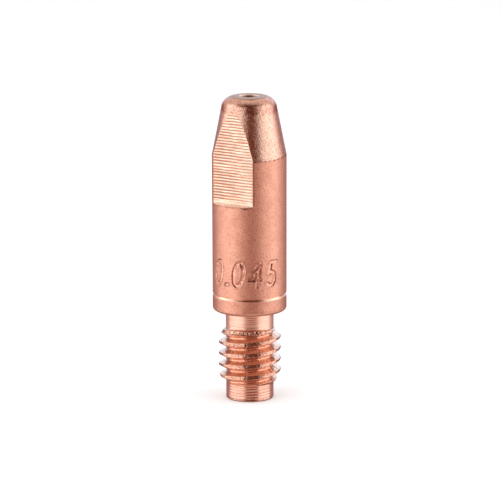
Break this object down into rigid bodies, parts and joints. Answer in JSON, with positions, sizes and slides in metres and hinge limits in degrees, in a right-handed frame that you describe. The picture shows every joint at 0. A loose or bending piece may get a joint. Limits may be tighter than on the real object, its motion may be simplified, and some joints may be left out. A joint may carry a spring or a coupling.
{
  "type": "welding contact tip",
  "caption": "One-piece copper contact tip with a threaded stub, a shoulder, wrench flats and a tapered nose; it guides the wire and feeds it current.",
  "frame": {"origin": "centre of the threaded end's face, on the wire bore's axis", "axes": "+Z along the wire bore from the threaded end to the nose; the wrench flats face -Y and +Y"},
  "size_m": [0.0092, 0.0092, 0.0381],
  "materials": {
    "copper": "satin"
  },
  "bodies": {
    "root": {"contact_tip": "copper"}
  },
  "joints": []
}
